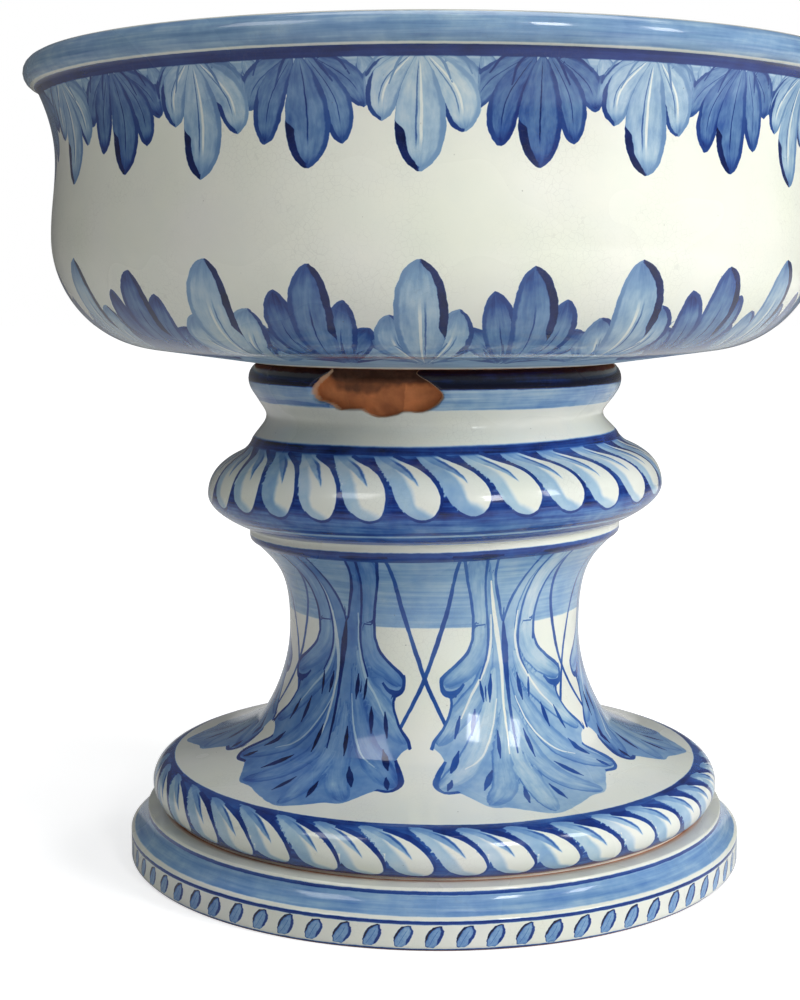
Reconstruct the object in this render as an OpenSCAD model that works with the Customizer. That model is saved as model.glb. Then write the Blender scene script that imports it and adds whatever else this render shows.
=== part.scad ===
// Large painted earthenware vase that rests loose on a baluster stand.
// The stand is thrown in two sections, clamped together by an iron rod.
// Origin: centre of the stand's base on the floor. +Z is up, -Y is the front.

/* [Vase] */
// Outer diameter of the wall, just above the rounded corner
vase_d = 560; // [480:1:640]
// Height from the seat on the stand to the top of the rim
vase_h = 215; // [180:1:300]
// Radius of the rounded corner between underside and wall
corner_r = 79; // [50:1:95]
// Slope of the underside, in degrees
under_angle = 8; // [4:1:14]
// Thickness of the wall
vase_wall = 12; // [8:1:18]
// Thickness of the floor at its centre
vase_floor = 14; // [10:1:24]
// How far the wall draws in between corner and rim
waist_in = 4; // [0:1:12]
// How far the wall flares out again under the rim
rim_flare = 8; // [0:1:20]
// Radius of the rolled rim
rim_roll_r = 10; // [7:1:13]
// Thickness of the turned foot ring
ring_t = 11; // [7:1:16]
// Depth of the foot ring below the seat
ring_h = 15; // [8:1:22]

/* [Collar of the stand] */
// Height of the collar, from the large moulding to the seat
collar_h = 61; // [52:1:76]
// Diameter over the rolled top of the collar
collar_d = 279; // [272:1:296]
// Depth of the rolled top, from the seat to its widest line
collar_roll_drop = 12; // [9:1:15]
// Diameter of the flat seat on top of the collar
seat_d = 260; // [250:1:266]
// Diameter of the hollow below the roll
hollow_d = 253; // [250:1:262]
// Depth of the hollow below the seat
hollow_drop = 38.5; // [34:0.5:42]
// Diameter at the foot of the collar
swell_d = 280; // [272:1:292]
// Diameter of the mouth that takes the vase's foot ring
mouth_d = 224; // [210:1:228]
// Depth of the straight mouth
mouth_h = 52; // [44:1:54]

/* [Large moulding] */
// Diameter over the large moulding
torus_d = 341; // [320:1:380]
// Height of the large moulding
torus_h = 58; // [50:1:70]
// Height of its widest line above its foot
torus_rise = 25.5; // [22:0.5:30]
// Diameter of the plain band under it
band_d = 279; // [268:1:282]
// Height of the plain band
band_h = 7; // [4:1:14]

/* [Neck] */
// Height of the neck, from the crease to the plain band
neck_h = 147; // [130:0.5:170]
// Smallest diameter of the neck
neck_d = 219.6; // [204:0.1:232]
// Height of the smallest diameter above the crease
neck_rise = 74.5; // [62:0.5:84]
// Diameter at the crease between neck and spreading foot
crease_d = 269; // [256:1:280]
// Thickness of the stand's thrown wall
stand_wall = 13; // [10:1:16]
// Thickness of the web that closes the neck
web_t = 14; // [10:1:20]
// Depth of the web's top below the large moulding
web_drop = 13; // [10:1:24]

/* [Spreading foot] */
// Height from the joint with the base to the crease
foot_h = 58; // [52:1:70]
// Diameter over the rounded edge of the foot
foot_d = 428; // [404:1:440]
// Radius of the rounded edge
foot_roll_r = 18; // [17:0.5:22]
// Height of the widest line above the joint
foot_roll_rise = 16.5; // [12:0.5:17.5]
// Thickness of the ring on which the foot stands
foot_ring_t = 12; // [8:1:16]

/* [Base section] */
// Diameter of the base on the floor
base_d = 462; // [446:1:490]
// Height of the base
base_h = 38; // [34:1:50]
// Height of the upright face of the base
base_face_h = 21; // [16:1:26]
// How far the moulded top edge of the base steps in
base_step = 13; // [8:1:14]
// Thickness of the base's web
base_web_t = 14; // [10:1:16]
// Thickness of the base's outer wall
base_wall = 20; // [14:1:26]
// Height of the lip that centres the upper section
lip_h = 8; // [4:1:12]
// Thickness of that lip
lip_t = 12; // [8:1:16]
// Thickness of the plaster bed between the sections
bed_t = 1.5; // [1:0.5:3]

/* [Tie rod and its fittings] */
// Diameter of the iron rod
rod_d = 12; // [10:1:16]
// Rod that stands out past each nut
rod_end = 4; // [2:1:6]
// Width of the nuts across their flats
nut_af = 21; // [18:1:27]
// Height of the nuts
nut_h = 9; // [7:1:10]
// Diameter of the iron plates
plate_d = 70; // [50:1:90]
// Thickness of the iron plates
plate_t = 4; // [3:1:5]
// Diameter of the leather washers under the plates
pad_d = 76; // [56:1:96]
// Thickness of the leather washers
pad_t = 3; // [2:1:4]

/* [Chip in the collar] */
// Depth of the chip at the widest line of the roll
chip_depth = 8; // [4:1:9]
// Radius of each of its scallops
chip_r = 33; // [26:1:40]
// Angle from the front to the left scallop, in degrees
chip_start = -28; // [-34:1:-22]
// Angle from one scallop to the next, in degrees
chip_step = 11; // [8:1:12]

/* [Fits] */
// Gap round the foot ring in the collar's mouth
ring_gap = 2; // [1:0.5:4]
// Gap round the centring lip in the upper section
lip_gap = 2; // [1:0.5:4]
// Gap round the rod in the webs
rod_gap = 3; // [1:0.5:5]
// Gap round the rod in its nuts
thread_gap = 0.05; // [0.02:0.01:0.1]

/* [Hidden] */

glaze_white = [0.90, 0.91, 0.89];
glaze_blue = [0.36, 0.50, 0.72];
plaster = [0.86, 0.84, 0.78];
iron = [0.24, 0.23, 0.22];
leather = [0.38, 0.24, 0.14];

// Heights, from the floor up
joint_z = base_h + bed_t;
crease_z = joint_z + foot_h;
neck_z = crease_z + neck_rise;
band_z = crease_z + neck_h;
torus_z = band_z + band_h;
torus_mid_z = torus_z + torus_rise;
collar_z = torus_z + torus_h;
seat_z = collar_z + collar_h;
web_top_z = torus_z - web_drop;
web_z = web_top_z - web_t;
rim_z = seat_z + vase_h;
base_web_z = base_h - base_web_t;

// Points on round stretches, and how finely revolved bodies are drawn
steps = 9;
around = 120;
// Amount by which a cut passes the face that it opens
past = 1;

// Directions in degrees at the two ends of each smooth stretch, upwards along the outline,
// each with the share of the stretch for which the curve keeps to it
dome_ends = [[163, 0.13], [147, 0.47]];
lower_flare_ends = [[128, 0.18], [90, 0.44]];
upper_flare_ends = [[90, 0.58], [44, 0.32]];
band_ends = [[44, 0.40], [90, 0.40]];
torus_lower_ends = [[25, 0.10], [90, 0.34]];
torus_upper_ends = [[90, 0.53], [151, 0.12]];
swell_ends = [[97, 0.37], [90, 0.25]];
hollow_rise_ends = [[90, 0.20], [57, 0.71]];
roll_lower_ends = [[57, 0.40], [90, 0.30]];
roll_upper_ends = [[90, 0.46], [180, 0.29]];
waist_ends = [[90, 0.36], [90, 0.36]];
flare_ends = [[90, 0.39], [65, 0.27]];
base_edge_ends = [[150, 0.24], [80, 0.39]];

// Small turns and edges
foot_roll_top = 73;
band_turn = [5.5, 6];
torus_ledge = 1;
roll_turn = [3, 9.5];
seat_overlap = 4;
rim_start = -75;
base_chamfer = 2;
rod_chamfer = 1;
waist_share = 0.45;
chip_count = 3;

function polar(a) = [cos(a), sin(a)];

// Round arc about c, from angle a to angle b
function arc(c, r, a, b, n = steps) = [for (i = [0:n]) c + r * polar(a + (b - a) * i / n)];

// Smooth curve from p to q, with the directions and shares given in ends
function sweep(p, q, ends, n = steps) =
    let(span = norm(q - p),
        p1 = p + span * ends[0][1] * polar(ends[0][0]),
        q1 = q - span * ends[1][1] * polar(ends[1][0]))
    [for (i = [0:n]) let(t = i / n, u = 1 - t)
        u * u * u * p + 3 * u * u * t * p1 + 3 * u * t * t * q1 + t * t * t * q];

// Points of an outline, each one once, where two of its stretches share a point
function single(path) = [for (i = [0:len(path) - 1]) if (i == 0 || norm(path[i] - path[max(i - 1, 0)]) > 0.01)
    path[i]];

// The same outline moved inwards by d; outlines run upwards with the axis on their left
function moved_in(p, d) = [for (i = [0:len(p) - 1])
    let(a = p[max(i - 1, 0)], b = p[min(i + 1, len(p) - 1)], t = (b - a) / norm(b - a))
    p[i] + d * [-t[1], t[0]]];

// The inside of a wall: where the outline turns tighter than the wall, no point runs back down
function inset(path, d) = let(q = moved_in(single(path), d))
    [for (i = [0:len(q) - 1]) if (i == 0 || q[i][1] > q[max(i - 1, 0)][1]) q[i]];

// Part of an outline between two heights, closed to the axis
function radius_at(path, z) = lookup(z, [for (p = path) [p[1], p[0]]]);
function between(path, low, high) = concat(
    [[0, low], [radius_at(path, low), low]],
    [for (p = path) if (p[1] > low + 0.01 && p[1] < high - 0.01) p],
    [[radius_at(path, high), high], [0, high]]);

module turned(outline) {
    rotate_extrude($fn = around) polygon(outline);
}

// Flat round washer or ring with its lower face at z
module ring(outer_d, inner_d, z, h) {
    translate([0, 0, z]) difference() {
        cylinder(d = outer_d, h = h, $fn = around);
        translate([0, 0, -past]) cylinder(d = inner_d, h = h + 2 * past, $fn = around);
    }
}

// Outline of the spreading foot: rounded edge, then the shallow dome up to the crease
foot_roll_c = [foot_d / 2 - foot_roll_r, joint_z + foot_roll_rise];
crease = [crease_d / 2, crease_z];
foot_edge = arc(foot_roll_c, foot_roll_r, -asin(foot_roll_rise / foot_roll_r), foot_roll_top);
dome = sweep(foot_edge[steps], crease, dome_ends);

// Outline of the neck: two flares that meet at its narrowest line
neck_in = [neck_d / 2, neck_z];
flare_top = [band_d / 2, band_z] - band_turn;
lower_flare = sweep(crease, neck_in, lower_flare_ends);
upper_flare = sweep(neck_in, flare_top, upper_flare_ends);
band = concat(sweep(flare_top, [band_d / 2, band_z], band_ends, 3), [[band_d / 2, torus_z]]);

// Outline of the large moulding
torus_foot = [band_d / 2 + torus_ledge, torus_z];
torus_top = [swell_d / 2, collar_z];
torus_side = [torus_d / 2, torus_mid_z];
torus_lower = sweep(torus_foot, torus_side, torus_lower_ends);
torus_upper = sweep(torus_side, torus_top, torus_upper_ends);

// Outline of the collar: swell, hollow and rolled top with its flat seat
hollow = [hollow_d / 2, seat_z - hollow_drop];
roll_side = [collar_d / 2, seat_z - collar_roll_drop];
roll_foot = roll_side - roll_turn;
swell = sweep(torus_top, hollow, swell_ends);
hollow_rise = sweep(hollow, roll_foot, hollow_rise_ends);
roll = concat(sweep(roll_foot, roll_side, roll_lower_ends, 3),
              sweep(roll_side, [seat_d / 2, seat_z], roll_upper_ends, 6));

// Ring on which the upper section stands, then that section's outline and its inside
stem_ring_out = foot_edge[0][0];
stem_ring_in = stem_ring_out - foot_ring_t;
stem_outline = concat([[0, joint_z]], foot_edge, dome, lower_flare, upper_flare, band,
                      torus_lower, torus_upper, swell, hollow_rise, roll, [[0, seat_z]]);
stem_inside = concat(
    [[stem_ring_in, joint_z - past]],
    [for (p = inset(concat(dome, lower_flare, upper_flare), stand_wall)) if (p[0] < stem_ring_in) p],
    inset(concat(torus_lower, torus_upper), stand_wall),
    [[mouth_d / 2, seat_z - mouth_h], [mouth_d / 2, seat_z + past]]);

// Outline of the vase, from its seat to the roll of the rim
vase_r = vase_d / 2;
seat_out = [seat_d / 2 + seat_overlap, seat_z];
corner_x = vase_r - corner_r;
corner_z = seat_z + (corner_x + corner_r * sin(under_angle) - seat_out[0]) * tan(under_angle)
         + corner_r * cos(under_angle);
waist = [vase_r - waist_in, corner_z + waist_share * (rim_z - corner_z)];
wall_top = [vase_r + rim_flare, rim_z - 2 * rim_roll_r];
vase_side = concat([seat_out], arc([corner_x, corner_z], corner_r, under_angle - 90, 0, 2 * steps),
                   sweep([vase_r, corner_z], waist, waist_ends), sweep(waist, wall_top, flare_ends));
vase_inside = inset(vase_side, vase_wall);
rim_in = vase_inside[len(vase_inside) - 1];
rim_c = [rim_in[0] + rim_roll_r, rim_z - rim_roll_r];
rim_top = arc(rim_c, rim_roll_r, rim_start, 180, 2 * steps);
ring_out = mouth_d / 2 - ring_gap;
ring_in = ring_out - ring_t;

function reversed(path) = [for (i = [len(path) - 1:-1:0]) path[i]];

vase_outline = concat(
    [[0, seat_z], [ring_in, seat_z], [ring_in, seat_z - ring_h]],
    [[ring_out, seat_z - ring_h], [ring_out, seat_z]],
    vase_side, rim_top, reversed([for (p = vase_inside) if (p[1] < rim_c[1]) p]), [[0, seat_z + vase_floor]]);

// The vase: a wide round bowl on a low turned foot ring
module vase() {
    color(glaze_white) turned(vase_outline);
}

// Scallops of clay broken away from the roll at the top of the collar
module chip() {
    for (i = [0:chip_count - 1])
        rotate([0, 0, chip_start + i * chip_step - 90])
            translate([collar_d / 2 - chip_depth + chip_r, 0, seat_z - collar_roll_drop])
                sphere(r = chip_r - i, $fn = 64);
}

// The upper section of the stand: spreading foot, neck, large moulding and collar in one hollow throwing
module stand_stem() {
    color(glaze_blue) difference() {
        turned(stem_outline);
        turned(between(stem_inside, joint_z - past, web_z));
        turned(between(stem_inside, web_top_z, seat_z + past));
        translate([0, 0, web_z - past])
            cylinder(d = rod_d + 2 * rod_gap, h = web_t + 2 * past, $fn = around);
        chip();
    }
}

// The lower section: a round moulded base, hollow below, with a lip that centres the upper section
module stand_base() {
    lip_out = stem_ring_in - lip_gap;
    edge = [base_d / 2 - base_step, base_h];
    outline = concat(
        [[0, base_web_z], [base_d / 2 - base_wall, base_web_z], [base_d / 2 - base_wall, 0],
         [base_d / 2 - base_chamfer, 0], [base_d / 2, base_chamfer]],
        sweep([base_d / 2, base_face_h], edge, base_edge_ends),
        [[lip_out, base_h], [lip_out, base_h + lip_h], [lip_out - lip_t, base_h + lip_h],
         [lip_out - lip_t, base_h], [0, base_h]]);
    color(glaze_white) difference() {
        turned(outline);
        translate([0, 0, base_web_z - past])
            cylinder(d = rod_d + 2 * rod_gap, h = base_web_t + 2 * past, $fn = around);
    }
}

// Bed of set plaster that levels the joint between the two sections
module bed_ring() {
    color(plaster) ring(2 * stem_ring_out - 1, 2 * stem_ring_in, base_h, bed_t);
}

// Iron rod that draws the two sections together
rod_low = base_web_z - pad_t - plate_t - nut_h - rod_end;
rod_high = web_top_z + pad_t + plate_t + nut_h + rod_end;
module tie_rod() {
    r = rod_d / 2;
    c = rod_chamfer;
    color(iron) turned([[0, rod_low], [r - c, rod_low], [r, rod_low + c], [r, rod_high - c],
                        [r - c, rod_high], [0, rod_high]]);
}

// Leather washer that spares the clay from the iron plate
module pad(z) {
    color(leather) ring(pad_d, rod_d + 2 * thread_gap, z, pad_t);
}

// Round iron plate that spreads the pull of the nut
module plate(z) {
    color(iron) ring(plate_d, rod_d + 2 * thread_gap, z, plate_t);
}

// Hexagonal nut
module nut(z) {
    color(iron) translate([0, 0, z]) difference() {
        cylinder(d = nut_af / cos(30), h = nut_h, $fn = 6);
        translate([0, 0, -past]) cylinder(d = rod_d + 2 * thread_gap, h = nut_h + 2 * past, $fn = around);
    }
}

module top_pad() { pad(web_top_z); }
module top_plate() { plate(web_top_z + pad_t); }
module top_nut() { nut(web_top_z + pad_t + plate_t); }
module bottom_pad() { pad(base_web_z - pad_t); }
module bottom_plate() { plate(base_web_z - pad_t - plate_t); }
module bottom_nut() { nut(base_web_z - pad_t - plate_t - nut_h); }

vase();
stand_stem();
stand_base();
bed_ring();
tie_rod();
top_pad();
top_plate();
top_nut();
bottom_pad();
bottom_plate();
bottom_nut();
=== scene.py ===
# Large painted earthenware vase, loose on its baluster stand.
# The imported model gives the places; the glaze, painting, clay and iron are made here.
import math

import bmesh
import bpy
import numpy as np
from mathutils import Matrix, Vector


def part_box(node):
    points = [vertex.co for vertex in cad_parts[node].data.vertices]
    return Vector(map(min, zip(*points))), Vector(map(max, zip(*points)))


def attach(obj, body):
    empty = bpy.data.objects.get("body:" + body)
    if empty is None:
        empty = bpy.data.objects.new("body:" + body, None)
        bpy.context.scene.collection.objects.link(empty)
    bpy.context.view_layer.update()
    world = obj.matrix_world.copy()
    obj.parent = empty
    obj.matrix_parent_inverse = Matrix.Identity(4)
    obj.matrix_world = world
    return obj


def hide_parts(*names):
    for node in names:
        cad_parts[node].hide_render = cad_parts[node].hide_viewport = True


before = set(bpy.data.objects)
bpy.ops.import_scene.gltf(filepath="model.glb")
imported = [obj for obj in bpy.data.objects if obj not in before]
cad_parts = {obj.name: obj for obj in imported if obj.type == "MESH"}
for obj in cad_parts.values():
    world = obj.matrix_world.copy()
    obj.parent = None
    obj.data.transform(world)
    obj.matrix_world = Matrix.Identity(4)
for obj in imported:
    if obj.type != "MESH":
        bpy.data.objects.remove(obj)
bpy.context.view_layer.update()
mm = 0.001
bpy.context.scene.view_settings.view_transform = "Standard"

camera = {
    "distance": 1.330,  # metres from the vase's axis
    "height": 0.4311,
    "tiltDown": 7.1,  # degrees
    "focalPixels": 1771,
    "axisPixel": 434.5,  # where the axis of the vase stands in the picture
    "imageWidth": 800,
    "imageHeight": 1000,
    "sensor": 36,
}


def makeCamera():
    data = bpy.data.cameras.new("camera")
    data.sensor_fit = "VERTICAL"
    data.sensor_height = camera["sensor"]
    data.lens = camera["focalPixels"] * camera["sensor"] / camera["imageHeight"]
    data.clip_start, data.clip_end = 0.05, 30
    eye = bpy.data.objects.new("camera", data)
    eye.location = (0, -camera["distance"], camera["height"])
    pan = math.atan((camera["axisPixel"] - camera["imageWidth"] / 2) / camera["focalPixels"])
    eye.rotation_euler = (math.radians(90 - camera["tiltDown"]), 0, pan)
    bpy.context.scene.collection.objects.link(eye)
    bpy.context.scene.camera = eye


# What an operator on wires does: it adds the Math node of this operation
def mathsNode(operation):
    return lambda wire, *others: wire.maths(operation, *others)


# Shader maths: a wire is a node's output
class Wire:
    def __init__(self, tree, socket):
        self.tree, self.socket = tree, socket

    def maths(self, operation, *others):
        return self.tree.add("ShaderNodeMath", {"operation": operation}, [self, *others])

    def __rsub__(self, other):
        return self.tree.add("ShaderNodeMath", {"operation": "SUBTRACT"}, [other, self])

    __add__ = __radd__ = mathsNode("ADD")
    __mul__ = __rmul__ = mathsNode("MULTIPLY")
    __sub__ = mathsNode("SUBTRACT")
    __abs__ = mathsNode("ABSOLUTE")


class Tree:
    def __init__(self, name, world=None):
        self.material = world or bpy.data.materials.new(name)
        self.material.use_nodes = True
        self.nodes = self.material.node_tree.nodes
        self.links = self.material.node_tree.links
        self.nodes.clear()
        self.fields = {}

    # Adds a node: its settings first, then its sockets, by position or by name
    def add(self, kind, settings, sockets, output=0):
        node = self.nodes.new(kind)
        for key, value in settings.items():
            if key == "stops":
                ramp = node.color_ramp
                while len(ramp.elements) < len(value):
                    ramp.elements.new(1)
                for element, (place, shade) in zip(ramp.elements, value):
                    element.position, element.color = place, (*shade, 1)
            else:
                setattr(node, key, value)
        pairs = sockets.items() if isinstance(sockets, dict) else enumerate(sockets)
        for key, value in pairs:
            if isinstance(value, Wire):
                self.links.new(value.socket, node.inputs[key])
            else:
                node.inputs[key].default_value = value
        return Wire(self, node.outputs[output]) if len(node.outputs) else None

    def places(self):
        if "places" not in self.fields:
            self.fields["places"] = self.add("ShaderNodeTexCoord", {}, {}, "Object")
        return self.fields["places"]

    def join(self, x, y, z):
        return self.add("ShaderNodeCombineXYZ", {}, [x, y, z])

    # Three numbers stored on the piece's points
    def field(self, name):
        if name not in self.fields:
            vector = self.add("ShaderNodeAttribute", {"attribute_name": name}, {}, "Vector")
            parts = self.add("ShaderNodeSeparateXYZ", {}, [vector]).socket.node.outputs
            self.fields[name] = [Wire(self, part) for part in parts]
        return self.fields[name]

    # One number stored on the piece's points
    def number(self, name):
        if name not in self.fields:
            self.fields[name] = self.add("ShaderNodeAttribute", {"attribute_name": name}, {}, "Fac")
        return self.fields[name]

    # 0 below low and 1 above high, or the other way round where low is the larger
    def step(self, value, low, high):
        smooth = {"interpolation_type": "SMOOTHSTEP"}
        return self.add("ShaderNodeMapRange", smooth, [value, low, high, 0, 1])

    def spread(self, value, low, high, toLow, toHigh):
        return self.add("ShaderNodeMapRange", {}, [value, low, high, toLow, toHigh])

    def blend(self, mask, below, above):
        return self.add("ShaderNodeMix", {"data_type": "FLOAT"}, {0: mask, 2: below, 3: above})

    def tint(self, mask, below, above, how="MIX"):
        sockets = {0: mask, 6: below, 7: above}
        return self.add("ShaderNodeMix", {"data_type": "RGBA", "blend_type": how}, sockets, 2)

    def noise(self, vector, scale, detail=2.0, roughness=0.5):
        sockets = {"Vector": vector, "Scale": scale, "Detail": detail, "Roughness": roughness}
        return self.add("ShaderNodeTexNoise", {}, sockets, "Fac")

    def cells(self, vector, scale, feature, output):
        sockets = {"Vector": vector, "Scale": scale}
        return self.add("ShaderNodeTexVoronoi", {"feature": feature}, sockets, output)

    def vectors(self, operation, first, second):
        return self.add("ShaderNodeVectorMath", {"operation": operation}, [first, second])

    def ramp(self, value, stops):
        return self.add("ShaderNodeValToRGB", {"stops": stops}, [value])

    def bump(self, height, strength, distance):
        sockets = {"Height": height, "Strength": strength, "Distance": distance}
        return self.add("ShaderNodeBump", {}, sockets)

    def finish(self, sockets):
        shader = self.add("ShaderNodeBsdfPrincipled", {}, sockets)
        self.add("ShaderNodeOutputMaterial", {}, [shader])
        return self.material


# A colour as it looks on a screen, 0 to 255, as the linear values that sockets take
def colour(red, green, blue):
    def linear(value):
        share = value / 255
        return share / 12.92 if share <= 0.04045 else ((share + 0.055) / 1.055) ** 2.4
    return tuple(linear(value) for value in (red, green, blue))


def opaque(red, green, blue):
    return (*colour(red, green, blue), 1)


# Outlines, as lists of (radius, height) in millimetres
def polar(angle):
    return np.array([math.cos(math.radians(angle)), math.sin(math.radians(angle))])


def arc(centre, radius, start, end, step):
    count = max(2, math.ceil(abs(math.radians(end - start)) * radius / step))
    turn = (end - start) / count
    return [np.array(centre) + radius * polar(start + turn * i) for i in range(count + 1)]


# Smooth stretch from one point to another, with a direction and a share of the chord at each end
def sweep(start, end, ends, step):
    start, end = np.array(start, float), np.array(end, float)
    span = np.linalg.norm(end - start)
    count = max(2, math.ceil(span / step))
    first = start + span * ends[0][1] * polar(ends[0][0])
    second = end - span * ends[1][1] * polar(ends[1][0])
    points = []
    for i in range(count + 1):
        t = i / count
        u = 1 - t
        points.append(u ** 3 * start + 3 * u * u * t * first + 3 * u * t * t * second + t ** 3 * end)
    return points


def straight(start, end, step):
    start, end = np.array(start, float), np.array(end, float)
    count = max(1, math.ceil(np.linalg.norm(end - start) / step))
    return [start + (end - start) * i / count for i in range(count + 1)]


# The same outline moved inwards, for the inside of a wall
def inset(path, depth):
    path = withoutDoubles(path)
    moved = []
    for i, point in enumerate(path):
        along = path[min(i + 1, len(path) - 1)] - path[max(i - 1, 0)]
        along = along / np.linalg.norm(along)
        moved.append(point + depth * np.array([-along[1], along[0]]))
    return [point for i, point in enumerate(moved) if i == 0 or point[1] > moved[i - 1][1]]


def withoutDoubles(path):
    kept = [np.array(path[0], float)]
    for point in path[1:]:
        if np.linalg.norm(np.array(point) - kept[-1]) > 0.05:
            kept.append(np.array(point, float))
    return kept


# Turns an outline about the upright axis, as on a potter's wheel: one wedge is spun and repeated
def turned(name, outline, columns, wedges=8):
    work = bmesh.new()
    corners = [work.verts.new((point[0] * mm, 0, point[1] * mm)) for point in outline]
    edges = [work.edges.new(pair) for pair in zip(corners[:-1], corners[1:])]
    if min(outline[0][0], outline[-1][0]) > 0:
        edges.append(work.edges.new((corners[-1], corners[0])))
    share = 2 * math.pi / wedges
    bmesh.ops.spin(work, geom=corners + edges, cent=(0, 0, 0), axis=(0, 0, 1), angle=share,
                   steps=columns // wedges, use_merge=False)
    wedge = work.verts[:] + work.edges[:] + work.faces[:]
    for i in range(1, wedges):
        copy = bmesh.ops.duplicate(work, geom=wedge)["geom"]
        moved = [part for part in copy if isinstance(part, bmesh.types.BMVert)]
        bmesh.ops.rotate(work, verts=moved, cent=(0, 0, 0), matrix=Matrix.Rotation(i * share, 3, "Z"))
    bmesh.ops.remove_doubles(work, verts=work.verts, dist=0.01 * mm)
    bmesh.ops.recalc_face_normals(work, faces=work.faces)
    for face in work.faces:
        face.smooth = True
    mesh = bpy.data.meshes.new(name)
    work.to_mesh(mesh)
    work.free()
    piece = bpy.data.objects.new(name, mesh)
    bpy.context.scene.collection.objects.link(piece)
    print(name, "turned,", len(mesh.polygons), "faces")
    return piece


# The points of a turned piece: azimuth from the front in degrees, radius and height in millimetres,
# and the rise along the outline. Painted fields are worked out here and stored on the mesh.
class Surface:
    def __init__(self, piece, outline, knownAt, knownRise=0):
        self.mesh = piece.data
        flat = np.zeros(len(self.mesh.vertices) * 3, np.float32)
        self.mesh.vertices.foreach_get("co", flat)
        self.points = flat.reshape(-1, 3).astype(float) / mm
        self.azimuth = np.degrees(np.arctan2(self.points[:, 0], -self.points[:, 1]))
        self.radius = np.hypot(self.points[:, 0], self.points[:, 1])
        path = np.array(outline)
        lengths = np.concatenate([[0], np.cumsum(np.hypot(*np.diff(path, axis=0).T))])
        lengths += knownRise - lengths[np.argmin(np.hypot(*(path - np.array(knownAt)).T))]
        self.path, self.lengths = path, lengths
        # places of the points on the outline: the nearest corner first, then the legs beside it
        spots = np.stack([self.radius, self.points[:, 2]], 1)
        index = np.zeros(len(spots), int)
        for part in np.array_split(np.arange(len(spots)), 40):
            gaps = ((path[None] - spots[part, None]) ** 2).sum(2)
            index[part] = gaps.argmin(1)
        self.rise = lengths[index]
        nearest = np.full(len(spots), np.inf)
        for first in (index - 1, index):
            first = np.clip(first, 0, len(path) - 2)
            leg = path[first + 1] - path[first]
            size = np.hypot(*leg.T)
            share = np.clip(((spots - path[first]) * leg).sum(1) / size ** 2, 0, 1)
            gap = np.hypot(*(spots - path[first] - share[:, None] * leg).T)
            closer = gap < nearest
            nearest[closer] = gap[closer]
            self.rise[closer] = (lengths[first] + share * size)[closer]
        self.layers = {}

    def radiusAt(self, rise):
        return np.interp(rise, self.lengths, self.path[:, 0])

    # Puts the points and the painted layers into the mesh
    def store(self):
        self.mesh.vertices.foreach_set("co", (self.points * mm).astype(np.float32).ravel())
        for name, values in self.layers.items():
            kind, entry = ("FLOAT_VECTOR", "vector") if values.ndim == 2 else ("FLOAT", "value")
            attribute = self.mesh.attributes.new(name, kind, "POINT")
            attribute.data.foreach_set(entry, values.astype(np.float32).ravel())
        self.mesh.update()

    # Points given as (degrees, rise) become millimetres on the unrolled surface
    def unrolled(self, marks):
        marks = np.array(marks, float)
        return np.stack([np.radians(marks[:, 0]) * self.radiusAt(marks[:, 1]), marks[:, 1]], 1)

    # Points of the piece near a path, in the same millimetres
    def near(self, centre, path, reach):
        turn = (self.azimuth - centre + 180) % 360 - 180
        across = np.radians(turn) * self.radius
        low, high = path.min(0) - reach, path.max(0) + reach
        picked = ((self.rise > low[1]) & (self.rise < high[1]) & (across > low[0]) & (across < high[0])
                  & (np.abs(turn) < 90) & self.painted)
        index = np.nonzero(picked)[0]
        return index, np.stack([across[index], self.rise[index]], 1)

    # Distance, signed distance to the right, and share along an open path
    def along(self, spots, path):
        legs = np.diff(path, axis=0)
        sizes = np.hypot(*legs.T)
        start = np.concatenate([[0], np.cumsum(sizes)])
        offset = spots[:, None, :] - path[None, :-1, :]
        share = np.clip((offset * legs).sum(2) / sizes ** 2, 0, 1)
        gap = offset - share[..., None] * legs
        distance = np.hypot(gap[..., 0], gap[..., 1])
        best = distance.argmin(1)
        rows = np.arange(len(spots))
        gap, leg = gap[rows, best], legs[best] / sizes[best][:, None]
        side = gap[:, 0] * leg[:, 1] - gap[:, 1] * leg[:, 0]
        walked = (start[best] + share[rows, best] * sizes[best]) / start[-1]
        return distance[rows, best], side, walked

    def layer(self, name, first):
        if name not in self.layers:
            self.layers[name] = np.tile(np.array(first, float), (len(self.points), 1))
            self.layers[name + "Tone"] = np.zeros(len(self.points))
        return self.layers[name]

    # Takes the values at those points where they beat what is stored there
    def keep(self, name, index, better, values, tone):
        chosen = index[better]
        self.layers[name][chosen] = np.stack(values, 1)[better]
        self.layers[name + "Tone"][chosen] = tone

    # A leaf lobe: stores the depth inside its edge, the place across (-1 to 1) and along (0 to 1)
    def lobe(self, name, centre, marks, halfWidth, belly, point, tone):
        stored = self.layer(name, (-12, 0, 0))
        path = self.unrolled(smoothPath(marks, 7))
        index, spots = self.near(centre, path, halfWidth + 8)
        distance, side, walked = self.along(spots, path)
        rising, falling = belly * point / (1 - belly), point
        top = belly ** rising * (1 - belly) ** falling
        share = np.clip(walked, 1e-4, 1) ** rising * np.clip(1 - walked, 0, 1) ** falling
        width = halfWidth * share / top
        inside = np.where((walked > 0) & (walked < 1), width - np.abs(side), -distance)
        across = np.clip(side / np.maximum(width, 1.5), -2.5, 2.5)
        self.keep(name, index, inside > stored[index, 0], [inside, across, walked], tone)

    # A brush stroke: stores the distance to its right, the plain distance, and its half-width there
    def stroke(self, name, centre, marks, widths, tone):
        stored = self.layer(name, (30, 30, 0.1))
        path = self.unrolled(smoothPath(marks, 6))
        index, spots = self.near(centre, path, 9)
        distance, side, walked = self.along(spots, path)
        half = np.interp(walked, np.linspace(0, 1, len(widths)), widths)
        better = distance - half < stored[index, 1] - stored[index, 2]
        self.keep(name, index, better, [side, distance, half], tone)

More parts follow.
